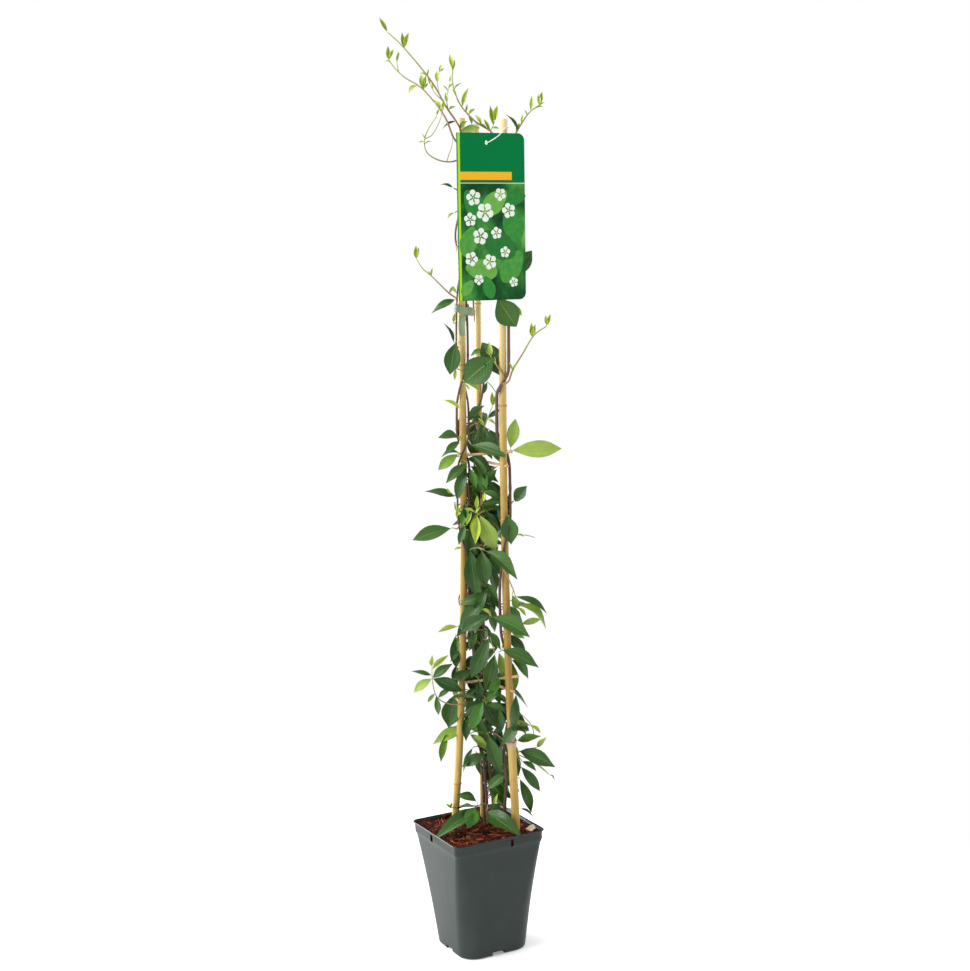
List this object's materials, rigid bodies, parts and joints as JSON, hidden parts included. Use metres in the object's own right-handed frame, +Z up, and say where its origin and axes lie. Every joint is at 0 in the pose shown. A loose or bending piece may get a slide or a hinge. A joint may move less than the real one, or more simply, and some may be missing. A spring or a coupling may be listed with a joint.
{
  "type": "potted star jasmine",
  "caption": "Tall slim star jasmine in a square nursery pot: woody vines twine up bamboo canes and thin rungs, with glossy leaves, young shoots and a printed label card.",
  "frame": {"origin": "centre of the pot's underside, on the surface it stands on", "axes": "+Z up along the canes; +X and +Y along the pot's sides, with the label card facing -Y"},
  "size_m": [0.1924, 0.1461, 1.2196],
  "materials": {
    "pot_plastic": "satin dark grey-green moulded plastic",
    "bark_substrate": "loose dark red-brown bark and coir",
    "wood_chip": "pale split wood",
    "bamboo": "smooth yellow-tan bamboo with raised joints",
    "split_bamboo": "dull split bamboo",
    "printed_card": "satin printed card in greens with an amber band",
    "white_plastic": "smooth white plastic",
    "tie_tape": "soft pale grey-green tape",
    "vine_bark": "dull brown woody bark",
    "green_shoot": "smooth lime to olive young stem and leaf",
    "dark_leaf": "glossy dark green leaf with a pale midrib"
  },
  "bodies": {
    "root": {"pot": "pot_plastic", "substrate": "bark_substrate", "wood_chip": "wood_chip", "cane_left": "bamboo", "cane_right": "bamboo", "cane_back": "bamboo", "rung_low_front": "split_bamboo", "rung_low_side": "split_bamboo", "rung_low_rear": "split_bamboo", "rung_middle_front": "split_bamboo", "rung_middle_side": "split_bamboo", "rung_middle_rear": "split_bamboo", "rung_high_front": "split_bamboo", "rung_high_side": "split_bamboo", "rung_high_rear": "split_bamboo", "label_card": "printed_card", "label_hook": "white_plastic", "tie_band": "tie_tape", "tie_tail": "tie_tape", "vine_left_rear": "vine_bark", "vine_left_front": "vine_bark", "vine_right": "vine_bark", "vine_back": "vine_bark", "vine_middle": "vine_bark", "shoot_top_left": "green_shoot", "shoot_top_left_lower": "green_shoot", "shoot_loop": "green_shoot", "shoot_top_middle": "green_shoot", "shoot_top_right": "green_shoot", "shoot_left": "green_shoot", "shoot_right": "green_shoot", "shoot_centre": "green_shoot", "shoot_low_left": "green_shoot", "spray_beside_card": "dark_leaf", "spray_below_card_left": "dark_leaf", "spray_below_card_right": "dark_leaf", "spray_heart_leaf": "dark_leaf", "spray_broad_centre": "dark_leaf", "spray_left_young": "dark_leaf", "spray_left_upper": "dark_leaf", "spray_front_arch": "dark_leaf", "spray_big_pale": "dark_leaf", "spray_left_narrow": "dark_leaf", "spray_right_small": "dark_leaf", "spray_middle_top": "dark_leaf", "spray_pale_hanging": "dark_leaf", "spray_left_big": "dark_leaf", "spray_hanging_pair": "dark_leaf", "spray_right_upper": "dark_leaf", "spray_crossing": "dark_leaf", "spray_long_hanging": "dark_leaf", "spray_right_middle": "dark_leaf", "spray_low_left": "dark_leaf", "spray_low_right": "dark_leaf", "spray_low_middle": "dark_leaf", "spray_low_centre": "dark_leaf", "spray_foot_left": "dark_leaf", "spray_foot_right": "dark_leaf", "spray_rear_middle": "dark_leaf", "spray_rear_low": "dark_leaf"}
  },
  "joints": []
}
